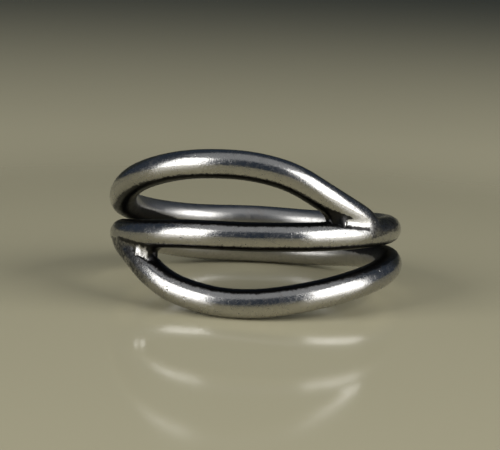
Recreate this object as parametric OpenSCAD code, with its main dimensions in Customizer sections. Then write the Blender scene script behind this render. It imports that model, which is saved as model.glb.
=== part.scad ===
// Wound wire ring. One round silver wire goes two and a third times round the finger: over
// the top, straight across the middle and down under, with two passes side by side at the
// back. Each end is soldered to the middle strand. The ring lies on its side, as it rests.

/* [Ring] */
// Clear width across the inside of the wire
bore_d = 17.3; // [15:0.1:21]
// Thickness of the round wire
wire_d = 2.0; // [1.8:0.05:2.2]

/* [Front of the ring] */
// Rise of the top strand's crest over the middle of the ring
crest_rise = 4.8; // [4.4:0.1:6]
// Drop of the bottom strand's belly under the middle of the ring
belly_drop = 4.7; // [4.4:0.1:6]

/* [Solder] */
// Radius of the solder in the corner between a soldered end and the middle strand
solder_r = 0.4; // [0.2:0.05:0.5]
// Open height at which the solder ends in the fork at the right
right_fork = 0.4; // [0.3:0.05:0.6]
// Open height at which the solder ends in the fork at the left
left_fork = 0.7; // [0.4:0.05:0.8]
// Length of wire over which a soldered end thins out to its tip
end_taper = 2.0; // [1:0.1:2.5]

/* [Rest] */
// Angle by which the belly lifts the front of the ring off the surface
rest_pitch = 10.1; // [8:0.1:13]
// Angle by which its right side is lifted more than its left
rest_lean = 3.4; // [0:0.1:5]

/* [Hidden] */

wire_r = wire_d / 2;
ring_r = bore_d / 2 + wire_r;
mm_per_degree = ring_r * PI / 180;

// The wire's way. A row says how far the wire has turned from the front of the middle strand,
// and its height there as shares of the crest's rise and of the belly's drop, and in wires.
TURNED = 0;
CREST = 1;
BELLY = 2;
WIRES = 3;
WAY = [
    // top strand, from its soldered end at the right, over the crest, to the left side
    [-420, 0.05, 0, 0],
    [-410, 0.16, 0, 0],
    [-400, 0.31, 0, 0],
    [-390, 0.49, 0, 0],
    [-375, 0.78, 0, 0],
    [-360, 0.94, 0, 0],
    [-345, 1.00, 0, 0],
    [-330, 1.00, 0, 0],
    [-315, 0.94, 0, 0],
    [-300, 0.84, 0, 0],
    [-285, 0.70, 0, 0],
    [-270, 0.56, 0, 0],
    // upper pass at the back
    [-240, 0, 0, 0.97],
    [-210, 0, 0, 0.70],
    [-180, 0, 0, 0.58],
    [-150, 0, 0, 0.34],
    [-120, 0, 0, 0.22],
    // middle strand, from the right side to the left side
    [-90, 0, 0, 0.08],
    [-60, 0, 0, -0.04],
    [-30, 0, 0, -0.14],
    [0, 0, 0, -0.10],
    [30, 0, 0, 0.05],
    [60, 0, 0, 0.10],
    [90, 0, 0, 0.12],
    // lower pass at the back
    [120, 0, 0, -0.10],
    [150, 0, 0, -0.46],
    [180, 0, 0, -0.66],
    [210, 0, 0, -0.83],
    [240, 0, 0, -0.91],
    // bottom strand, from the right side, under the belly, to its soldered end at the left
    [270, 0, 0.48, 0],
    [300, 0, 0.67, 0],
    [330, 0, 0.87, 0],
    [345, 0, 0.95, 0],
    [360, 0, 1.00, 0],
    [375, 0, 0.97, 0],
    [390, 0, 0.84, 0],
    [400, 0, 0.71, 0],
    [410, 0, 0.51, 0],
    [420, 0, 0.29, 0],
    [428, 0, 0.15, 0],
    [435, 0, 0.08, 0],
    [442, 0, 0.05, 0]
];
LAST = len(WAY) - 1;
START = WAY[0][TURNED];
END = WAY[LAST][TURNED];

// Sides of the wire. Where an end leaves the middle strand, the solder between them is a web
// over WEB_SIDES of each. The other sides, the arcs, run on round both wires at the joint.
SIDES = 24;
WEB_SIDES = 2;
ARC = SIDES - WEB_SIDES;
// Open height, as a share of the solder's radius, to which the solder rounds the corner
WEB_OPEN = 0.45;
// Turn from one ring of points to the next, at most, on the wire and on average at a joint,
// and from a joint's tip to the wire
STEP = 5;
JOINT_STEP = 1.3;
TIP_STEP = 2;
// Step of the search for a turn, and halvings in the search for the skin
SEARCH_STEP = 0.1;
HALVINGS = 16;

// Height of a row of the way, and the slope with which the wire passes it
function row_height(i) = let (row = WAY[i])
    row[CREST] * crest_rise - row[BELLY] * belly_drop + row[WIRES] * wire_d;
function row_slope(i) = let (a = max(i - 1, 0), b = min(i + 1, LAST))
    (row_height(b) - row_height(a)) / (WAY[b][TURNED] - WAY[a][TURNED]);

// The row that a turn comes after
function row_before(t, i = 0) = i == LAST - 1 || WAY[i + 1][TURNED] > t ? i : row_before(t, i + 1);

// Height of the wire's centre at a turn, on a smooth curve through the rows
function height(t) = let (
    i = row_before(t),
    span = WAY[i + 1][TURNED] - WAY[i][TURNED],
    s = (t - WAY[i][TURNED]) / span
) row_height(i) * (2 * pow(s, 3) - 3 * pow(s, 2) + 1)
    + row_slope(i) * span * (pow(s, 3) - 2 * pow(s, 2) + s)
    + row_height(i + 1) * (3 * pow(s, 2) - 2 * pow(s, 3))
    + row_slope(i + 1) * span * (pow(s, 3) - pow(s, 2));

// Cosine of the wire's climb at a turn
function flatness(t) = let (a = max(t - 0.5, START), b = min(t + 0.5, END))
    1 / norm([1, (height(b) - height(a)) / (b - a) / mm_per_degree]);

// A point at a turn, from how far it is outside the line of wire centres and how high up
function at_turn(t, out, up) = (ring_r + out) * [-sin(t), -cos(t), 0] + [0, 0, up];

// Points round the wire, cut upright at a turn, from its outer side over its top
function wire_ring_points(t) = [for (k = [0:SIDES - 1]) let (a = k * 360 / SIDES)
    at_turn(t, wire_r * cos(a), height(t) + wire_r * sin(a) / flatness(t))];

// Beside a soldered end runs the middle strand: its turn there, the side of it that the end
// lies on, how far apart the centres are, how far the two wires are open, and the radius of
// the end, which thins out to its tip
function beside(t) = t < 0 ? t + 360 : t - 360;
function side(t) = t < 0 ? 1 : -1;
function apart(t) = side(t) * (height(t) - height(beside(t)));
function open(t) = apart(t) - wire_r / flatness(t) - wire_r / flatness(beside(t));
function end_radius(t) = let (
    left = min(t - START, END - t) * mm_per_degree,
    gone = 1 - min(left, end_taper) / end_taper
) wire_r * sqrt(1 - pow(gone, 2));

// The turn, on the way from a tip, where the two wires are open by a height
function turn_open(gap, t, step) = open(t) >= gap ? t : turn_open(gap, t + step, step);

// Distance of a point from the skin of both wires at a joint, with the solder that rounds the
// corner between them. The point is measured outwards and upwards from half-way between them.
function off_skin(t, p) = let (
    half = side(t) * apart(t) / 2,
    end = norm([p.x, (p.y - half) * flatness(t)]) - end_radius(t),
    middle = norm([p.x, (p.y + half) * flatness(beside(t))]) - wire_r
) max(solder_r, min(end, middle)) - norm([max(solder_r - end, 0), max(solder_r - middle, 0)]);

// How far that skin is from a point inside, in one direction
function reach(t, from, way, low = 0, high = 2 * wire_d, n = HALVINGS) = let (half = (low + high) / 2)
    n == 0 ? half
    : off_skin(t, from + half * way) < 0 ? reach(t, from, way, half, high, n - 1)
    : reach(t, from, way, low, half, n - 1);

// Points round both wires at a joint: an arc round the upper one, from the outer corner to
// the inner, and on round the lower one, back to the outer corner
function joint_ring_points(t) = let (
    half = apart(t) / 2,
    corner = atan2(half, reach(t, [0, 0], [1, 0])),
    span = (180 + 2 * corner) / ARC,
    upper = [for (k = [0:ARC]) let (a = k * span - corner) [[0, half], [cos(a), sin(a)]]],
    lower = [for (k = [1:ARC - 1]) let (a = k * span + 180 - corner) [[0, -half], [cos(a), sin(a)]]],
    level = (height(t) + height(beside(t))) / 2
) [for (ray = concat(upper, lower)) let (p = ray[0] + reach(t, ray[0], ray[1]) * ray[1])
    at_turn(t, p.x, level + p.y)];

// Turns from a to b, spaced evenly, and from a tip to a web, closer near both
function even_turns(a, b, step) = let (n = ceil(abs(b - a) / step))
    [for (k = [0:n]) k == n ? b : a + (b - a) * k / n];
function tip_turns(tip, web) = let (n = ceil(abs(web - tip) / JOINT_STEP))
    [for (k = [0:n]) tip + (web - tip) * (1 - cos(180 * k / n)) / 2];

// The two joints, and the three lengths of wire between them
TOP_WEB = turn_open(WEB_OPEN * solder_r, START, SEARCH_STEP);
TOP_FORK = turn_open(right_fork, START, SEARCH_STEP);
BOTTOM_WEB = turn_open(WEB_OPEN * solder_r, END, -SEARCH_STEP);
BOTTOM_FORK = turn_open(left_fork, END, -SEARCH_STEP);
top_joint = [for (t = tip_turns(START, TOP_WEB)) joint_ring_points(t)];
bottom_joint = [for (t = tip_turns(END, BOTTOM_WEB)) joint_ring_points(t)];
top_strand = [for (t = even_turns(TOP_FORK, START + 360 - TIP_STEP, STEP)) wire_ring_points(t)];
middle_strand = [for (t = even_turns(TOP_FORK + 360, BOTTOM_FORK - 360, STEP)) wire_ring_points(t)];
bottom_strand = [for (t = even_turns(BOTTOM_FORK, END - 360 + TIP_STEP, STEP)) wire_ring_points(t)];

// A list of lists as one list
function joined(lists) = [for (list = lists) for (item = list) item];

// The ring's points as it lies at rest, and how far to move them onto the surface
function at_rest(p) = let (
    y = p.y * cos(rest_pitch) + p.z * sin(rest_pitch),
    z = p.z * cos(rest_pitch) - p.y * sin(rest_pitch)
) [p.x * cos(rest_lean) - z * sin(rest_lean), y, z * cos(rest_lean) + p.x * sin(rest_lean)];
RINGS = concat(top_joint, top_strand, middle_strand, bottom_joint, bottom_strand);
POINTS = [for (p = joined(RINGS)) at_rest(p)];
function coordinates(axis) = [for (p = POINTS) p[axis]];
TO_SURFACE = [
    -(min(coordinates(0)) + max(coordinates(0))) / 2,
    -(min(coordinates(1)) + max(coordinates(1))) / 2,
    -min(coordinates(2))
];

// Numbers of the points in each ring, counted on from a first number
function numbered(rings, first) = [for (i = [0:len(rings) - 1]) let (sides = len(rings[0]))
    [for (k = [0:sides - 1]) first + i * sides + k]];
function count(rings) = len(rings) * len(rings[0]);
TOP_JOINT = numbered(top_joint, 0);
TOP = numbered(top_strand, count(top_joint));
MIDDLE = numbered(middle_strand, count(top_joint) + count(top_strand));
BOTTOM_JOINT = numbered(bottom_joint, len(POINTS) - count(bottom_strand) - count(bottom_joint));
BOTTOM = numbered(bottom_strand, len(POINTS) - count(bottom_strand));

// Part of a ring, from one of its points on round, and a list the other way round
function part_of(ring, from, sides) = [for (k = [from:from + sides]) ring[k % len(ring)]];
function reversed(list) = [for (k = [1:len(list)]) list[len(list) - k]];

// Triangles between two rows of as many points
function band(a, b) = [for (k = [0:len(a) - 2]) each [[a[k], b[k], b[k + 1]], [a[k], b[k + 1], a[k + 1]]]];

// Triangles along rings of points
function tube(rings) = [for (i = [0:len(rings) - 2]) let (sides = len(rings[0]))
    each band(part_of(rings[i], 0, sides), part_of(rings[i + 1], 0, sides))];

// Triangles between a ring of points and one with more of them
function widening(a, b, i = 0, j = 0) = let (next_a = a[(i + 1) % len(a)], next_b = b[(j + 1) % len(b)])
    i == len(a) && j == len(b) ? []
    : j == len(b) || (i < len(a) && (i + 0.5) * len(b) < (j + 0.5) * len(a))
    ? concat([[a[i % len(a)], b[j % len(b)], next_a]], widening(a, b, i + 1, j))
    : concat([[a[i % len(a)], b[j % len(b)], next_b]], widening(a, b, i, j + 1));

// Triangles from a joint's last ring to the rings of its two wires, and over the web of
// solder that fills the fork between them
OVER_WEB = SIDES / 4 - WEB_SIDES / 2;
UNDER_WEB = SIDES * 3 / 4 - WEB_SIDES / 2;
function fork(joint, upper, lower) = let (
    outer_under = UNDER_WEB + WEB_SIDES,
    inner_over = OVER_WEB + WEB_SIDES
) concat(
    band(part_of(joint, 0, ARC), part_of(upper, outer_under, ARC)),
    band(part_of(joint, ARC, ARC), part_of(lower, inner_over, ARC)),
    band(reversed(part_of(lower, OVER_WEB, WEB_SIDES)), part_of(upper, UNDER_WEB, WEB_SIDES)),
    [
        [joint[0], lower[OVER_WEB], upper[outer_under]],
        [joint[ARC], upper[UNDER_WEB], lower[inner_over]]
    ]
);

// The whole skin. Triangles made from a ring towards an earlier turn are turned over.
function turned_over(triangles) = [for (f = triangles) [f[0], f[2], f[1]]];
function last(rings) = rings[len(rings) - 1];
TRIANGLES = concat(
    tube(TOP_JOINT),
    fork(last(TOP_JOINT), TOP[0], MIDDLE[0]),
    tube(TOP),
    widening(last(TOP), TOP_JOINT[0]),
    tube(MIDDLE),
    turned_over(tube(BOTTOM_JOINT)),
    turned_over(fork(last(BOTTOM_JOINT), last(MIDDLE), BOTTOM[0])),
    turned_over(tube(BOTTOM)),
    turned_over(widening(last(BOTTOM), BOTTOM_JOINT[0]))
);

module wire_ring() {
    color([0.66, 0.66, 0.67])
        translate(TO_SURFACE)
            polyhedron(POINTS, TRIANGLES, convexity = 8);
}

wire_ring();
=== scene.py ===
"""Wound wire ring in worn silver, lying on a pale floor."""

import math

import bmesh
import bpy
import numpy as np
from bpy.props import FloatProperty, FloatVectorProperty, PointerProperty
from mathutils import Matrix, Vector
from mathutils.kdtree import KDTree


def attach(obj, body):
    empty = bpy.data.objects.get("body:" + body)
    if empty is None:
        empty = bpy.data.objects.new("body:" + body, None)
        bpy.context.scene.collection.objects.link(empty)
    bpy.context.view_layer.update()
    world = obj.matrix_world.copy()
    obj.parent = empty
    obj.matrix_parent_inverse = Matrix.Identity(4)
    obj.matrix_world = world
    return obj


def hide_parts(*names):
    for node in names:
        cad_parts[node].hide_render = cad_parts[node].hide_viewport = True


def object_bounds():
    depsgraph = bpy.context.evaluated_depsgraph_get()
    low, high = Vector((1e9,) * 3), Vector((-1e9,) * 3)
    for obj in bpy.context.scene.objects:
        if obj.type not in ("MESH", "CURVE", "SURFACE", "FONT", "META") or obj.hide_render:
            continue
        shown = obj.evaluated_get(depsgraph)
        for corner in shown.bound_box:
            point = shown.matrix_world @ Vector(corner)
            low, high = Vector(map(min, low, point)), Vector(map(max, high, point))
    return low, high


bl_info = {
    "name": "Wound wire ring",
    "version": (1, 0, 0),
    "blender": (4, 5, 0),
    "location": "3D View > Sidebar > Ring",
    "description": "A hand-wound ring of round silver wire with soldered ends",
    "category": "Object",
}

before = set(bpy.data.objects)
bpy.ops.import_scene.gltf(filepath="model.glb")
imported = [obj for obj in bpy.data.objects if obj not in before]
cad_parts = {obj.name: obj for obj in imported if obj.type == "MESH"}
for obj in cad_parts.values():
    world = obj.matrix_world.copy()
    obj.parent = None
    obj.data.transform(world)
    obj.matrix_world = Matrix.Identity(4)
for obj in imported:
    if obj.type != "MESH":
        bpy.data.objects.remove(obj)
cad_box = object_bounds()

MM = 0.001

# The wire's way: turn from the front of the middle strand in degrees, and the height there as
# shares of the crest's rise and of the belly's drop, and in wires
WAY = (
    (-420, 0.05, 0, 0), (-410, 0.16, 0, 0), (-400, 0.31, 0, 0), (-390, 0.49, 0, 0),
    (-375, 0.78, 0, 0), (-360, 0.94, 0, 0), (-345, 1.00, 0, 0), (-330, 1.00, 0, 0),
    (-315, 0.94, 0, 0), (-300, 0.84, 0, 0), (-285, 0.70, 0, 0), (-270, 0.56, 0, 0),
    (-240, 0, 0, 0.97), (-210, 0, 0, 0.70), (-180, 0, 0, 0.58), (-150, 0, 0, 0.34),
    (-120, 0, 0, 0.22), (-90, 0, 0, 0.08), (-60, 0, 0, -0.04), (-30, 0, 0, -0.14),
    (0, 0, 0, -0.10), (30, 0, 0, 0.05), (60, 0, 0, 0.10), (90, 0, 0, 0.12),
    (120, 0, 0, -0.10), (150, 0, 0, -0.46), (180, 0, 0, -0.66), (210, 0, 0, -0.83),
    (240, 0, 0, -0.91), (270, 0, 0.48, 0), (300, 0, 0.67, 0), (330, 0, 0.87, 0),
    (345, 0, 0.95, 0), (360, 0, 1.00, 0), (375, 0, 0.97, 0), (390, 0, 0.84, 0),
    (400, 0, 0.71, 0), (410, 0, 0.51, 0), (420, 0, 0.29, 0), (428, 0, 0.15, 0),
    (435, 0, 0.08, 0), (442, 0, 0.05, 0),
)

# Sides of the wire's cage, and those of them that face the other wire where they part
SIDES = 24
WEB_SIDES = 2
ARC = SIDES - WEB_SIDES
# Degrees from one ring of points to the next along the wire, and along a joint, at most
STEP = 5.0
JOINT_STEP = 1.3
# Degrees by which the turn is looked for where a fork opens
SEARCH_STEP = 0.1
# Open height, as a share of the solder's radius, to which the solder rounds the corner
WEB_OPEN = 0.45
# A round cage shrinks to this share of its radius when it is subdivided once
SHRINK = 0.75 + 0.25 * math.cos(2 * math.pi / SIDES)
# Degrees from where a length of wire ends to the tip that begins the joint after it
BEFORE_TIP = 2
# Halvings of the way from inside the wire to outside it when its skin is looked for
HALVINGS = 18
# How far a seam's point may be from the mesh's own
SEAM_GAP = 0.02 * MM

# Tarnish and painted shade between two strands begin where the skin faces the other one by a
# least share, and are full a fade further on. The least share is more across a wide gap, and
# less between the passes at the back and on the finger's side at the ring's left and right,
# where it stands for a painted dark reflection of the dim room.
LEAST_FACING = 0.5
FACING_FADE = 0.32
MORE_ACROSS_GAP = 0.06
LESS_AT_BACK = 0.22
LESS_AT_SIDES = 0.4

# Tarnish and painted shade beside a soldered end. A share is of the way from the middle strand's
# centre to the end's, a length is the height between the two or along it, and a pair is where a
# fade begins and ends.
CREASE = 0.29
CREASE_DARK = 0.7
CREASE_WIDTH = (0.08 * MM, 0.2 * MM)
CREASE_START = (0.8 * MM, 1.2 * MM)
CORNER_TOP = (0.64, 0.72)
CORNER_FADE = 0.2 * MM
LEFT_CORNER = 2.68 * MM
RIGHT_CORNER = 2.1 * MM
RIGHT_CORNER_LEAN = 1.2 * MM
# painted dark reflection on an end's tip, where it faces the dim room
TIP_REFLECTION_DARK = 0.43
LEFT_TIP = (2.7 * MM, 3.2 * MM)
RIGHT_TIP = (1.0 * MM, 1.15 * MM)
JOINT_END = (3.2 * MM, 3.6 * MM)
OUTER_SIDE = (0.2, 0.4)
# The bright drop in the left joint, which the painted dark reflection leaves out: its height and
# share, their spans, and its edge
DROP_AT = (2.5 * MM, 0.53)
DROP_SPAN = (0.3 * MM, 0.2)
DROP_EDGE = (0.75, 1.15)

# Patches per metre of the patterns in the silver
CLOUDS = 350.0
PIT_PATCHES = 900.0
MOTTLES = 1500.0
PITS = 1500.0
SPECKS = 5000.0
GRAINS = 12000.0
# Fine scratches: how they are turned, their spacing and their length
SCRATCHES = (
    ((0.2, 1.3, 0.0), 0.25 * MM, 3.0 * MM),
    ((0.1, 1.9, 0.3), 0.3 * MM, 2.5 * MM),
    ((1.2, 0.5, 0.6), 0.4 * MM, 2.0 * MM),
)

# The floor's width, the steps of the cove that bends up behind it and the length of each,
# and the height of the wall over it, in metres
FLOOR_WIDTH = 3
COVE_STEPS = 8
COVE_STEP = 0.04
WALL_HEIGHT = 0.6
# Distances from the ring at which the floor's polish begins to fade and is gone
POLISH_FADE = (38 * MM, 100 * MM)
# The camera's place, the way it looks, and the way up in its picture
CAMERA_AT = (-1.63 * MM, -113.59 * MM, 24.86 * MM)
CAMERA_FORWARD = (0.0104, 0.9845, -0.1751)
CAMERA_UP = (-0.0377, 0.1753, 0.9838)


class RingSizes(bpy.types.PropertyGroup):
    """Sizes of the ring, in the same terms as its solid"""

    bore: FloatProperty(
        name="Bore", description="Clear width across the inside of the wire",
        default=17.3 * MM, unit="LENGTH")
    wire: FloatProperty(
        name="Wire", description="Thickness of the round wire",
        default=2.0 * MM, unit="LENGTH")
    crest: FloatProperty(
        name="Crest", description="Rise of the top strand over the middle of the ring",
        default=4.8 * MM, unit="LENGTH")
    belly: FloatProperty(
        name="Belly", description="Drop of the bottom strand under the middle of the ring",
        default=4.7 * MM, unit="LENGTH")
    solder: FloatProperty(
        name="Solder", description="Radius of the solder in the corner beside a soldered end",
        default=0.4 * MM, unit="LENGTH")
    right_fork: FloatProperty(
        name="Right fork",
        description="Open height at which the solder ends in the fork at the right",
        default=0.4 * MM, unit="LENGTH")
    left_fork: FloatProperty(
        name="Left fork",
        description="Open height at which the solder ends in the fork at the left",
        default=0.7 * MM, unit="LENGTH")
    end_taper: FloatProperty(
        name="End", description="Length of wire over which a soldered end thins out to its tip",
        default=2.0 * MM, unit="LENGTH")
    pitch: FloatProperty(
        name="Pitch", description="Angle by which the belly lifts the front of the ring",
        default=math.radians(10.1), unit="ROTATION")
    lean: FloatProperty(
        name="Lean", description="Angle by which the right side is lifted more than the left",
        default=math.radians(3.4), unit="ROTATION")


class RingFinish(bpy.types.PropertyGroup):
    """Colours and finish of the silver"""

    silver: FloatVectorProperty(
        name="Silver", description="Colour of the worn silver",
        default=(0.44, 0.43, 0.41), subtype="COLOR", min=0, max=1)
    stain: FloatVectorProperty(
        name="Stain", description="Colour of the brown stains in the dull spots",
        default=(0.2, 0.13, 0.09), subtype="COLOR", min=0, max=1)
    # colour of the tarnish and painted shade in joints and gaps
    tarnish_and_shade: FloatVectorProperty(
        name="Tarnish", description="Colour of the dark tarnish in joints and gaps",
        default=(0.006, 0.0055, 0.006), subtype="COLOR", min=0, max=1)


class StageLook(bpy.types.PropertyGroup):
    """Floor, light and camera"""

    floor: FloatVectorProperty(
        name="Floor", description="Colour of the floor and the backdrop",
        default=(0.54, 0.495, 0.33), subtype="COLOR", min=0, max=1)
    light: FloatProperty(
        name="Light", description="Brightness of the two upright panels", default=4.2, min=0)
    fill: FloatProperty(
        name="Fill", description="Brightness of the wide panel above", default=0.36, min=0)
    lens: FloatProperty(
        name="Lens", description="Focal length for a frame 36 mm wide", default=113.5)


class Way:
    """The wire's way round the finger, in metres"""

    def __init__(self, sizes):
        self.wire_r = sizes.wire / 2
        self.ring_r = sizes.bore / 2 + self.wire_r
        self.per_degree = self.ring_r * math.pi / 180
        self.solder = sizes.solder
        self.end_taper = sizes.end_taper
        self.turns = [row[0] for row in WAY]
        self.heights = [crest * sizes.crest - belly * sizes.belly + wires * sizes.wire
                        for _, crest, belly, wires in WAY]
        self.start, self.end = self.turns[0], self.turns[-1]

    def slope(self, i):
        """Rise per degree at a row of the way"""
        a, b = max(i - 1, 0), min(i + 1, len(self.turns) - 1)
        return (self.heights[b] - self.heights[a]) / (self.turns[b] - self.turns[a])

    def height(self, t):
        """Height of the wire's centre at a turn, on a smooth curve through the rows"""
        i = 0
        while i < len(self.turns) - 2 and self.turns[i + 1] <= t:
            i += 1
        span = self.turns[i + 1] - self.turns[i]
        s = (t - self.turns[i]) / span
        return (self.heights[i] * (2 * s**3 - 3 * s**2 + 1)
                + self.slope(i) * span * (s**3 - 2 * s**2 + s)
                + self.heights[i + 1] * (3 * s**2 - 2 * s**3)
                + self.slope(i + 1) * span * (s**3 - s**2))

    def flatness(self, t):
        """1 where the wire runs level, and less the steeper it climbs"""
        a, b = max(t - 0.5, self.start), min(t + 0.5, self.end)
        return 1 / math.hypot(1, (self.height(b) - self.height(a)) / (b - a) / self.per_degree)

    def point(self, t, out, up):
        """A place at a turn, so far out from the wire's circle and so high"""
        a = math.radians(t)
        r = self.ring_r + out
        return Vector((-r * math.sin(a), -r * math.cos(a), up))

    def centre(self, t):
        return self.point(t, 0, self.height(t))

    def beside(self, t):
        """The turn of the middle strand where an end runs beside it"""
        return t + 360 if t < 0 else t - 360

    def side(self, t):
        """1 where the end is over the middle strand, and -1 where it is under it"""
        return 1 if t < 0 else -1

    def apart(self, t):
        """Height between the centres of an end and of the middle strand"""
        return self.side(t) * (self.height(t) - self.height(self.beside(t)))

    def open(self, t):
        """Height of the gap between an end and the middle strand"""
        return (self.apart(t) - self.wire_r / self.flatness(t)
                - self.wire_r / self.flatness(self.beside(t)))

    def turn_open(self, gap, t, step):
        """The first turn, from one on, at which the gap is so high"""
        while self.open(t) < gap:
            t += step
        return t

    def end_radius(self, t):
        """Radius of an end's cage, which thins out to the tip"""
        left = min(t - self.start, self.end - t) * self.per_degree
        gone = 1 - min(left, self.end_taper) / self.end_taper
        return self.wire_r * math.sqrt(1 - gone**2) / SHRINK

    def off_skin(self, t, x, y):
        """Distance from the skin of both wires, with the solder in the corner between them"""
        half = self.side(t) * self.apart(t) / 2
        end = math.hypot(x, (y - half) * self.flatness(t)) - self.end_radius(t)
        middle = math.hypot(x, (y + half) * self.flatness(self.beside(t))) - self.wire_r / SHRINK
        in_corner = math.hypot(max(self.solder - end, 0), max(self.solder - middle, 0))
        return max(self.solder, min(end, middle)) - in_corner

    def reach(self, t, y, angle):
        """How far the skin is from a point inside, in one direction"""
        low, high = 0.0, 4 * self.wire_r
        for _ in range(HALVINGS):
            half = (low + high) / 2
            if self.off_skin(t, half * math.cos(angle), y + half * math.sin(angle)) < 0:
                low = half
            else:
                high = half
        return (low + high) / 2

    def joint_ring(self, t):
        """Points round both wires: an arc round the upper one, and on round the lower one"""
        half = self.apart(t) / 2
        corner = math.atan2(half, self.reach(t, 0, 0))
        span = (math.pi + 2 * corner) / ARC
        level = (self.height(t) + self.height(self.beside(t))) / 2
        rays = [(half, k * span - corner) for k in range(ARC + 1)]
        rays += [(-half, k * span + math.pi - corner) for k in range(1, ARC)]
        points = []
        for y, a in rays:
            d = self.reach(t, y, a)
            points.append(self.point(t, d * math.cos(a), level + y + d * math.sin(a)))
        return points

    def wire_ring(self, t):
        """Points round the wire, cut upright, from its outer side over its top"""
        r = self.wire_r / SHRINK
        return [self.point(t, r * math.cos(a), self.height(t) + r * math.sin(a) / self.flatness(t))
                for a in (2 * math.pi * k / SIDES for k in range(SIDES))]


def evenly(a, b, step):
    """Turns from one to another, in even steps no longer than a step"""
    n = math.ceil(abs(b - a) / step)
    return [a + (b - a) * k / n for k in range(n + 1)]


def from_tip(tip, web):
    """Turns from an end's tip to its web, closer together at both"""
    n = math.ceil(abs(web - tip) / JOINT_STEP)
    return [tip + (web - tip) * (1 - math.cos(math.pi * k / n)) / 2 for k in range(n + 1)]


def select_only(*objects):
    bpy.ops.object.select_all(action="DESELECT")
    for o in objects:
        o.select_set(True)
    bpy.context.view_layer.objects.active = objects[0]


def draw_wire(way, name, turns):
    """One length of wire: a circle across it, extruded from turn to turn"""
    bpy.ops.object.select_all(action="DESELECT")
    t = turns[0]
    across = math.atan2(-math.cos(math.radians(t)), -math.sin(math.radians(t)))
    bpy.ops.mesh.primitive_circle_add(
        vertices=SIDES, radius=way.wire_r / SHRINK, location=way.centre(t),
        rotation=(math.pi / 2, 0, across))
    wire = bpy.context.object
    wire.name = name
    bpy.ops.object.transform_apply()
    bpy.ops.object.mode_set(mode="EDIT")
    bpy.ops.mesh.select_all(action="SELECT")
    bpy.ops.transform.resize(value=(1, 1, 1 / way.flatness(t)), center_override=way.centre(t))
    for t, nxt in zip(turns, turns[1:]):
        rise = way.height(nxt) - way.height(t)
        bpy.ops.mesh.extrude_edges_move(TRANSFORM_OT_translate={"value": (0, 0, rise)})
        # with no window, a rotation goes the other way round
        bpy.ops.transform.rotate(
            value=math.radians(nxt - t), orient_axis="Z", center_override=(0, 0, 0))
        taller = way.flatness(t) / way.flatness(nxt)
        bpy.ops.transform.resize(value=(1, 1, taller), center_override=way.centre(nxt))
    bpy.ops.object.mode_set(mode="OBJECT")
    return wire


def spot(vertex):
    """A point's place, as a key by which its copy is found"""
    return tuple(round(c, 9) for c in vertex.co)


def draw_joint(way, name, turns):
    """A soldered end and the middle strand beside it, as one ring of points that is
    extruded from turn to turn and shaped to the two wires and their solder"""
    bpy.ops.object.select_all(action="DESELECT")
    bpy.ops.mesh.primitive_circle_add(vertices=2 * ARC, radius=way.wire_r)
    joint = bpy.context.object
    joint.name = name
    bpy.ops.object.mode_set(mode="EDIT")
    bpy.ops.mesh.select_all(action="SELECT")
    mesh = bmesh.from_edit_mesh(joint.data)
    order = sorted(mesh.verts, key=lambda v: math.atan2(v.co.y, v.co.x) % (2 * math.pi))
    ring = {v.index: k for k, v in enumerate(order)}
    shape_ring(joint, way.joint_ring(turns[0]), ring)
    for t in turns[1:]:
        # the new points lie on the old ones until they are moved
        mesh = bmesh.from_edit_mesh(joint.data)
        before = {spot(v): ring[v.index] for v in mesh.verts if v.select}
        bpy.ops.mesh.extrude_edges_move()
        mesh = bmesh.from_edit_mesh(joint.data)
        mesh.verts.index_update()
        ring = {v.index: before[spot(v)] for v in mesh.verts if v.select}
        shape_ring(joint, way.joint_ring(t), ring)
    bpy.ops.object.mode_set(mode="OBJECT")
    return joint


def shape_ring(joint, points, ring):
    """Moves a ring of vertices, each to its own of the points"""
    mesh = bmesh.from_edit_mesh(joint.data)
    mesh.verts.ensure_lookup_table()
    for index, k in ring.items():
        mesh.verts[index].co = points[k]
    bmesh.update_edit_mesh(joint.data)


class Seam:
    """Rows of points on a mesh in edit mode, joined by faces"""

    def __init__(self, piece):
        self.piece = piece
        self.mesh = bmesh.from_edit_mesh(piece.data)
        self.mesh.verts.ensure_lookup_table()
        self.tree = KDTree(len(self.mesh.verts))
        for v in self.mesh.verts:
            self.tree.insert(v.co, v.index)
        self.tree.balance()

    def pick(self, *rows, closed=False):
        """Selects the edges along rows of points"""
        bpy.ops.mesh.select_all(action="DESELECT")
        self.mesh = bmesh.from_edit_mesh(self.piece.data)
        self.mesh.verts.ensure_lookup_table()
        self.mesh.verts.index_update()
        for row in rows:
            verts = []
            for p in row:
                _, index, gap = self.tree.find(p)
                if gap > SEAM_GAP:
                    raise RuntimeError("a seam's point is off the mesh")
                verts.append(self.mesh.verts[index])
            pairs = list(zip(verts, verts[1:]))
            if closed:
                pairs.append((verts[-1], verts[0]))
            for a, b in pairs:
                edge = self.mesh.edges.get((a, b))
                if edge is None:
                    raise RuntimeError("a seam has no edge")
                edge.select_set(True)
        bmesh.update_edit_mesh(self.piece.data)

    def bridge(self, a, b, closed=False):
        """Joins two rows of points by a strip of faces"""
        self.pick(a, b, closed=closed)
        bpy.ops.mesh.bridge_edge_loops()


def part_of(ring, start, sides):
    """The points of a ring along so many of its sides"""
    return [ring[k % len(ring)] for k in range(start, start + sides + 1)]


def close_fork(seam, joint, upper, lower):
    """Skins the way from a joint to its two wires, and the web of solder between them"""
    under = SIDES * 3 // 4 - WEB_SIDES // 2
    over = SIDES // 4 - WEB_SIDES // 2
    seam.bridge(part_of(joint, 0, ARC), part_of(upper, under + WEB_SIDES, ARC))
    seam.bridge(part_of(joint, ARC, ARC), part_of(lower, over + WEB_SIDES, ARC))
    seam.bridge(part_of(upper, under, WEB_SIDES), part_of(lower, over, WEB_SIDES))
    # a triangle is still open on each side of the web
    bpy.ops.mesh.select_all(action="SELECT")
    bpy.ops.mesh.fill_holes(sides=3)


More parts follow.
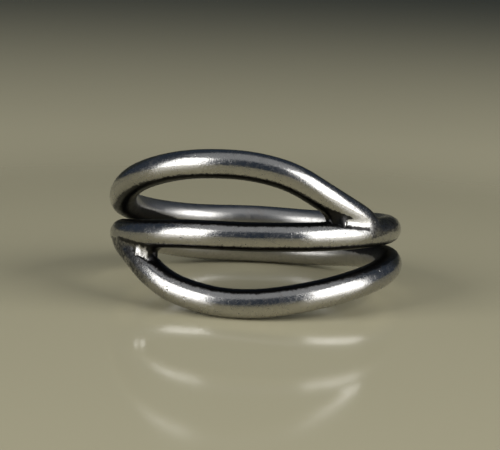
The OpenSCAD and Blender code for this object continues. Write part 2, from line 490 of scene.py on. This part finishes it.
def wire_lengths(way, sizes):
    """The turns of the two joints and of the three lengths of wire between them"""
    top_web = way.turn_open(WEB_OPEN * way.solder, way.start, SEARCH_STEP)
    top_fork = way.turn_open(sizes.right_fork, way.start, SEARCH_STEP)
    bottom_web = way.turn_open(WEB_OPEN * way.solder, way.end, -SEARCH_STEP)
    bottom_fork = way.turn_open(sizes.left_fork, way.end, -SEARCH_STEP)
    return {
        "top_joint": from_tip(way.start, top_web),
        "bottom_joint": from_tip(way.end, bottom_web),
        "top": evenly(top_fork, way.start + 360 - BEFORE_TIP, STEP),
        "middle": evenly(top_fork + 360, bottom_fork - 360, STEP),
        "bottom": evenly(bottom_fork, way.end - 360 + BEFORE_TIP, STEP),
    }


def wind_ring(sizes):
    """The whole ring, as one closed skin"""
    way = Way(sizes)
    turns = wire_lengths(way, sizes)
    parts = [draw_wire(way, n, turns[n]) for n in ("top", "middle", "bottom")]
    parts += [draw_joint(way, n, turns[n]) for n in ("top_joint", "bottom_joint")]
    select_only(*parts)
    bpy.ops.object.join()
    ring = bpy.context.object
    ring.name = "silver_wire"
    bpy.ops.object.mode_set(mode="EDIT")
    seam = Seam(ring)
    wire = way.wire_ring
    top, middle, bottom = turns["top"], turns["middle"], turns["bottom"]
    top_joint, bottom_joint = turns["top_joint"], turns["bottom_joint"]
    close_fork(seam, way.joint_ring(top_joint[-1]), wire(top[0]), wire(middle[0]))
    close_fork(seam, way.joint_ring(bottom_joint[-1]), wire(middle[-1]), wire(bottom[0]))
    seam.bridge(way.joint_ring(top_joint[0]), wire(top[-1]), closed=True)
    seam.bridge(way.joint_ring(bottom_joint[0]), wire(bottom[-1]), closed=True)
    bpy.ops.mesh.select_all(action="SELECT")
    bpy.ops.mesh.remove_doubles(threshold=0.001 * MM)
    bpy.ops.mesh.normals_make_consistent(inside=False)
    bpy.ops.object.mode_set(mode="OBJECT")
    rounding = ring.modifiers.new("rounding", "SUBSURF")
    rounding.levels = rounding.render_levels = 1
    bpy.ops.object.modifier_apply(modifier=rounding.name)
    bpy.ops.object.shade_smooth()
    return ring, way


def lay_down(ring, sizes):
    """Tilts the ring as it rests, and moves it to where its solid lies on the surface"""
    tilt = Matrix.Rotation(-sizes.lean, 4, "Y") @ Matrix.Rotation(-sizes.pitch, 4, "X")
    places = [tilt @ v.co for v in ring.data.vertices]
    lowest, highest = (Vector(map(pick, zip(*places))) for pick in (min, max))
    solid_lowest, solid_highest = (Vector(corner) for corner in cad_box)
    shift = (solid_lowest + solid_highest - lowest - highest) / 2
    shift.z = solid_lowest.z - lowest.z
    ring.matrix_world = Matrix.Translation(shift) @ tilt
    select_only(ring)
    bpy.ops.object.transform_apply()


def ramp(values, low, high):
    """0 at low and below, 1 at high and above"""
    return np.clip((values - low) / (high - low), 0, 1)


def fork_tarnish_and_shade(apart, share, left):
    """The black corner of a fork, where the strands part: tarnish and painted shade"""
    lean = 0 if left else RIGHT_CORNER_LEAN * ramp(share, 0.45, 1.0)
    start = (LEFT_CORNER if left else RIGHT_CORNER) - lean
    corner = ramp(apart, start, start + CORNER_FADE) * ramp(share, CREASE - 0.05, CREASE)
    return corner * (1 - ramp(share, *CORNER_TOP))


def tip_dark_reflection(apart, share, left):
    """Painted dark reflection on the mottled tip of an end, all but the bright drop of solder in the
    left joint
    """
    if not left:
        return TIP_REFLECTION_DARK * (1 - ramp(apart, *RIGHT_TIP))
    beyond_crease = ramp((share - CREASE) * apart, -0.05 * MM, 0.05 * MM)
    from_drop = np.hypot((apart - DROP_AT[0]) / DROP_SPAN[0], (share - DROP_AT[1]) / DROP_SPAN[1])
    return TIP_REFLECTION_DARK * beyond_crease * (1 - ramp(apart, *LEFT_TIP)) * ramp(from_drop, *DROP_EDGE)


def joint_tarnish_and_shade(places, outward, turns, heights, lap):
    """Tarnish and painted shade of a soldered end beside the middle strand, a lap away from it"""
    left = lap > 0
    turn = np.degrees(np.arctan2(-places[:, 0], -places[:, 1]))
    middle = np.interp(turn, turns, heights)
    rise = np.interp(turn + lap, turns, heights) - middle
    apart = np.abs(rise)
    there = (turn * lap > 0) & (np.abs(turn) < 90) & (apart > 0.2 * MM)
    share = (places[:, 2] - middle) / np.where(there, rise, 1)
    crease = CREASE_DARK * (1 - ramp(np.abs(share - CREASE) * apart, *CREASE_WIDTH))
    crease *= ramp(apart, *CREASE_START)
    on_skin = np.maximum(crease, tip_dark_reflection(apart, share, left)) * ramp(outward, *OUTER_SIDE)
    shade = np.maximum(on_skin, fork_tarnish_and_shade(apart, share, left)) * (1 - ramp(apart, *JOINT_END))
    # from a little past the middle strand's centre to just past the end's skin
    on_end = (share > -0.4) & ((share - 1) * apart < 1.2 * MM)
    return np.where(there & on_end, shade, 0)


def strand_tarnish_and_shade(places, normals, outward, turns, line, wire_r):
    """Tarnish and painted shade on the sides that two strands turn to each other"""
    heights = line[:, 2]
    own = turns[np.argmin(((places[:, None] - line[None]) ** 2).sum(2), axis=1)]
    level = np.interp(own, turns, heights)
    shade = np.zeros(len(places))
    for lap in (-720, -360, 360, 720):
        beside = own + lap
        there = (beside > turns[0]) & (beside < turns[-1])
        rise = np.interp(beside, turns, heights) - level
        facing = normals[:, 2] * np.sign(rise)
        # the gap between the two, in radii of the wire
        gap = np.maximum(np.abs(rise) / wire_r - 2, 0)
        # how far a point is at the back, or on the finger's side at the left or right, both
        # less as the gap widens
        back = np.clip(-1.5 * np.cos(np.radians(own)), 0, 1) * (1 - ramp(gap, 0, 0.8))
        # on the finger's side at the left and right the darkening is a painted dark reflection
        sides = ramp(np.abs(np.sin(np.radians(own))), 0.6, 0.9) * (1 - ramp(gap, 0.6, 1.4))
        sides *= ramp(-outward, 0.1, 0.6)
        least = LEAST_FACING + MORE_ACROSS_GAP * np.clip(gap, 0, 1)
        least -= LESS_AT_BACK * back + LESS_AT_SIDES * sides
        dark = ramp(facing, least, least + FACING_FADE)
        shade = np.maximum(shade, np.where(there, dark, 0))
    return shade


def read_vectors(vectors, name):
    """Vectors of a mesh as an array, one to a row"""
    values = np.empty(len(vectors) * 3)
    vectors.foreach_get(name, values)
    return values.reshape(-1, 3)


def mark_gaps(ring, way):
    """Marks the skin, as attributes. The gap is 1 where tarnish and painted shade darken it: in a
    crease, in a fork, between two strands, and on an end's tip as a painted dark reflection. The
    inside is 1 where the skin faces the finger."""
    mesh = ring.data
    places = read_vectors(mesh.vertices, "co")
    normals = read_vectors(mesh.vertex_normals, "vector")
    turns = np.arange(way.start, way.end + 0.1, 1.0)
    line = np.array([way.centre(t) for t in turns])
    outward = (normals[:, :2] * places[:, :2]).sum(1) / np.hypot(places[:, 0], places[:, 1])
    # a few thousand points at a time, because each is measured to the whole line
    shade = np.concatenate([
        strand_tarnish_and_shade(places[k:k + 4000], normals[k:k + 4000], outward[k:k + 4000],
                       turns, line, way.wire_r)
        for k in range(0, len(places), 4000)])
    for lap in (-360, 360):
        shade = np.maximum(shade, joint_tarnish_and_shade(places, outward, turns, line[:, 2], lap))
    # the gap attribute carries tarnish and painted shade into the silver's colour
    for name, values in (("gap", shade), ("inside", np.clip(-1.6 * outward, 0, 1))):
        attribute = mesh.attributes.new(name, "FLOAT", "POINT")
        attribute.data.foreach_set("value", values.astype(np.float32))


class Socket:
    """A value in a material, with arithmetic that adds its Math nodes"""

    def __init__(self, shader, socket):
        self.shader, self.socket = shader, socket

    def math(self, operation, *values):
        """A Math node of this value and others"""
        return self.shader.add(
            "ShaderNodeMath", {"operation": operation}, dict(enumerate((self, *values))))

    def __add__(self, other):
        return self.math("ADD", other)

    def __sub__(self, other):
        return self.math("SUBTRACT", other)

    def __mul__(self, other):
        return self.math("MULTIPLY", other)

    def __rsub__(self, other):
        return self.shader.add("ShaderNodeMath", {"operation": "SUBTRACT"}, {0: other, 1: self})

    __radd__, __rmul__ = __add__, __mul__

    def __abs__(self):
        return self.math("ABSOLUTE")

    def clamped(self):
        return self.shader.add("ShaderNodeClamp", {}, {"Value": self})

    def between(self, low, high):
        """0 at low and below, 1 at high and above, smooth in between"""
        return self.shader.add(
            "ShaderNodeMapRange", {"interpolation_type": "SMOOTHSTEP"},
            {"Value": self, "From Min": low, "From Max": high})


class Shader:
    """A material being put together"""

    def __init__(self, name):
        self.material = bpy.data.materials.new(name)
        self.material.use_nodes = True
        self.nodes = self.material.node_tree.nodes
        self.links = self.material.node_tree.links
        self.surface = self.nodes["Principled BSDF"]

    def add(self, kind, settings, inputs, output=0):
        """A node with its settings, and the values or links of its sockets"""
        node = self.nodes.new(kind)
        for name, value in settings.items():
            setattr(node, name, value)
        self.fill(node, inputs)
        return Socket(self, node.outputs[output])

    def fill(self, node, inputs):
        """Links a node's sockets or sets their values"""
        for name, value in inputs.items():
            if isinstance(value, Socket):
                self.links.new(value.socket, node.inputs[name])
            else:
                node.inputs[name].default_value = value

    def mix(self, factor, a, b):
        """A colour between two colours"""
        a = a if isinstance(a, Socket) else (*a, 1)
        b = b if isinstance(b, Socket) else (*b, 1)
        return self.add(
            "ShaderNodeMix", {"data_type": "RGBA"}, {"Factor": factor, 6: a, 7: b}, output=2)

    def noise(self, where, scale, detail=3.0, roughness=0.5):
        """Soft patches, about 0.5 on average"""
        return self.add("ShaderNodeTexNoise", {}, {
            "Vector": where, "Scale": scale, "Detail": detail, "Roughness": roughness})

    def finish(self, **inputs):
        """The material, with its surface's sockets filled"""
        self.fill(self.surface, {name.replace("_", " "): value for name, value in inputs.items()})
        return self.material


def hairlines(s, place, turn, spacing, length):
    """Fine scratches that run one way, some of them missing: 1 on a scratch and 0 beside it"""
    turned = s.add("ShaderNodeMapping", {"vector_type": "TEXTURE"}, {
        "Vector": place, "Rotation": turn, "Scale": (spacing, spacing, length)})
    line = 1 - abs(s.noise(turned, 1.0, detail=1.0) - 0.5).between(0.006, 0.03)
    return line * s.noise(turned, 0.6, detail=1.0).between(0.5, 0.6)


def silver_finish(finish):
    """Worn silver: cloudy polish, dull specks with brown stains, hairline scratches and pits,
    and dark tarnish with painted shade in the gaps. Heights are in millimetres."""
    s = Shader("worn_silver")
    place = s.add("ShaderNodeTexCoord", {}, {}, output=3)
    gap = s.add("ShaderNodeAttribute", {"attribute_name": "gap"}, {}, output=2)
    inside = s.add("ShaderNodeAttribute", {"attribute_name": "inside"}, {}, output=2)
    cloud = s.noise(place, CLOUDS)
    mottle = s.noise(place, MOTTLES, detail=4.0, roughness=0.6)
    speck = s.noise(place, SPECKS, detail=2.0, roughness=0.7)
    grain = s.noise(place, GRAINS, detail=1.0)
    pits = s.add("ShaderNodeTexVoronoi", {"feature": "F1"}, {"Vector": place, "Scale": PITS})
    pit = (1 - pits.between(0.05, 0.14)) * s.noise(place, PIT_PATCHES).between(0.55, 0.6)
    one_way, across, askew = (hairlines(s, place, *scratches) for scratches in SCRATCHES)
    scratch = (one_way + across + askew).clamped()

    # the gap carries tarnish and painted shade, its edge broken up by mottles and specks
    edge = gap + (mottle - 0.5) * 0.5 + (speck - 0.5) * 0.6
    tarnish_and_shade = edge.between(0.15, 0.6)
    dull = mottle.between(0.45, 0.7) * 0.35 + speck.between(0.5, 0.66) * 0.3
    dull = (dull + pit * 0.7 + scratch * 0.25).clamped()

    dull_silver = [c * 0.45 for c in finish.silver]
    stained = s.mix(cloud.between(0.54, 0.68) * 0.7, dull_silver, finish.stain)
    colour = s.mix(dull * 0.5, finish.silver, stained)
    # tarnish and painted shade darken the colour in the gaps
    colour = s.mix((tarnish_and_shade * 0.95).clamped(), colour, finish.tarnish_and_shade)
    roughness = cloud * 0.08 + 0.15 + dull * 0.22 + tarnish_and_shade * 0.12 + inside * 0.13
    relief = mottle * 0.004 + speck * 0.005 + grain * 0.003 - pit * 0.02 - scratch * 0.0015
    relief = relief * (1 - inside * 0.7)
    bump = s.add("ShaderNodeBump", {}, {"Height": relief, "Strength": 1.0, "Distance": 1 * MM})
    return s.finish(Base_Color=colour, Metallic=1.0, Roughness=roughness, Normal=bump)


def floor_finish(look):
    """A plain pale floor with a soft sheen, polished only round the ring"""
    s = Shader("pale_floor")
    place = s.add("ShaderNodeTexCoord", {}, {}, output=3)
    haze = s.noise(place, 60.0)
    away = s.add("ShaderNodeVectorMath", {"operation": "LENGTH"}, {0: place}, output=1)
    roughness = haze * 0.06 + 0.07 + away.between(*POLISH_FADE) * 0.5
    return s.finish(Base_Color=(*look.floor, 1), Roughness=roughness, IOR=1.25)


class RING_OT_wire(bpy.types.Operator):
    """Winds the ring from round wire, solders its ends and lays it down"""

    bl_idname = "ring.wire"
    bl_label = "Wound wire"

    def execute(self, context):
        sizes = context.scene.ring_sizes
        ring, way = wind_ring(sizes)
        mark_gaps(ring, way)
        lay_down(ring, sizes)
        ring.data.materials.clear()
        ring.data.materials.append(silver_finish(context.scene.ring_finish))
        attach(ring, "root")
        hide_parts("wire_ring")
        return {"FINISHED"}


class RING_OT_stage(bpy.types.Operator):
    """Adds the pale floor, the soft lights and the camera"""

    bl_idname = "ring.stage"
    bl_label = "Stage"

    def execute(self, context):
        look = context.scene.ring_stage
        self.add_floor(look)
        self.add_surroundings(context.scene)
        self.add_panel("left_light", -60, 39, 44, look.light)
        self.add_panel("right_light", 67, 49, 46, look.light)
        self.add_overhead("top_light", look.fill)
        self.add_camera(look)
        context.scene.view_settings.view_transform = "Standard"
        return {"FINISHED"}

    def add_floor(self, look):
        """A wide plane, whose far edge bends up into a wall"""
        bpy.ops.object.select_all(action="DESELECT")
        bpy.ops.mesh.primitive_plane_add(size=FLOOR_WIDTH)
        floor = bpy.context.object
        floor.name = "floor"
        bpy.ops.object.mode_set(mode="EDIT")
        bpy.ops.mesh.select_mode(type="EDGE")
        bpy.ops.mesh.select_all(action="DESELECT")
        mesh = bmesh.from_edit_mesh(floor.data)
        for edge in mesh.edges:
            edge.select_set(all(v.co.y > FLOOR_WIDTH / 3 for v in edge.verts))
        bmesh.update_edit_mesh(floor.data)
        for k in range(COVE_STEPS):
            a = math.radians(90 * (k + 0.5) / COVE_STEPS)
            step = (0, COVE_STEP * math.cos(a), COVE_STEP * math.sin(a))
            bpy.ops.mesh.extrude_edges_move(TRANSFORM_OT_translate={"value": step})
        bpy.ops.mesh.extrude_edges_move(TRANSFORM_OT_translate={"value": (0, 0, WALL_HEIGHT)})
        bpy.ops.object.mode_set(mode="OBJECT")
        bpy.ops.object.shade_smooth()
        floor.data.materials.append(floor_finish(look))

    def add_surroundings(self, scene):
        """A dim blue room all round"""
        world = bpy.data.worlds.new("soft_room")
        world.use_nodes = True
        room = world.node_tree.nodes["Background"].inputs
        room["Color"].default_value = (0.6, 0.85, 1.3, 1)
        room["Strength"].default_value = 0.05
        scene.world = world

    def add_camera(self, look):
        """The camera, a little above the floor and before the ring"""
        bpy.ops.object.camera_add(location=CAMERA_AT)
        camera = bpy.context.object
        forward = Vector(CAMERA_FORWARD).normalized()
        right = forward.cross(Vector(CAMERA_UP)).normalized()
        up = right.cross(forward)
        camera.rotation_euler = Matrix((right, up, -forward)).transposed().to_euler()
        camera.data.lens = look.lens
        camera.data.sensor_width = 36
        camera.data.clip_start = 0.005
        bpy.context.scene.camera = camera

    def add_light(self, name, place, facing, width, height, brightness):
        """A soft panel of one brightness. Its power follows from its size."""
        bpy.ops.object.light_add(type="AREA", location=place)
        light = bpy.context.object
        light.name = name
        light.data.shape = "RECTANGLE"
        light.data.size, light.data.size_y = width, height
        light.data.energy = brightness * math.pi * width * height
        light.rotation_euler = facing.to_track_quat("Z", "Y").to_euler()
        light.visible_camera = False

    def add_panel(self, name, azimuth, spread, top, brightness, distance=0.3):
        """An upright panel that stands on the floor. The ring sees it spread over an angle
        round its azimuth, up to its top. Azimuth 0 is the camera's side, 90 the right."""
        a = math.radians(azimuth)
        facing = Vector((math.sin(a), -math.cos(a), 0))
        width = 2 * distance * math.tan(math.radians(spread) / 2)
        foot = 4 * MM
        height = distance * math.tan(math.radians(top)) - foot
        place = facing * distance + Vector((0, 0, height / 2 + foot))
        self.add_light(name, place, facing, width, height, brightness)

    def add_overhead(self, name, brightness):
        """A wide panel above the ring and before it"""
        place = Vector((0, -0.12, 0.35))
        self.add_light(name, place, Vector((0, 0, 1)), width=0.56, height=0.4, brightness=brightness)


class RING_PT_panel(bpy.types.Panel):
    """The ring's sizes and finish, and the steps that make it"""

    bl_idname = "RING_PT_panel"
    bl_label = "Wound wire ring"
    bl_space_type = "VIEW_3D"
    bl_region_type = "UI"
    bl_category = "Ring"

    def draw(self, context):
        for group in ("ring_sizes", "ring_finish", "ring_stage"):
            settings = getattr(context.scene, group)
            for name in settings.__annotations__:
                self.layout.prop(settings, name)
        self.layout.operator(RING_OT_wire.bl_idname)
        self.layout.operator(RING_OT_stage.bl_idname)


CLASSES = (RingSizes, RingFinish, StageLook, RING_OT_wire, RING_OT_stage, RING_PT_panel)


def register():
    for c in CLASSES:
        bpy.utils.register_class(c)
    bpy.types.Scene.ring_sizes = PointerProperty(type=RingSizes)
    bpy.types.Scene.ring_finish = PointerProperty(type=RingFinish)
    bpy.types.Scene.ring_stage = PointerProperty(type=StageLook)


def unregister():
    for name in ("ring_sizes", "ring_finish", "ring_stage"):
        delattr(bpy.types.Scene, name)
    for c in reversed(CLASSES):
        bpy.utils.unregister_class(c)


def main():
    register()
    bpy.ops.ring.wire()
    bpy.ops.ring.stage()


if __name__ == "__main__":
    main()
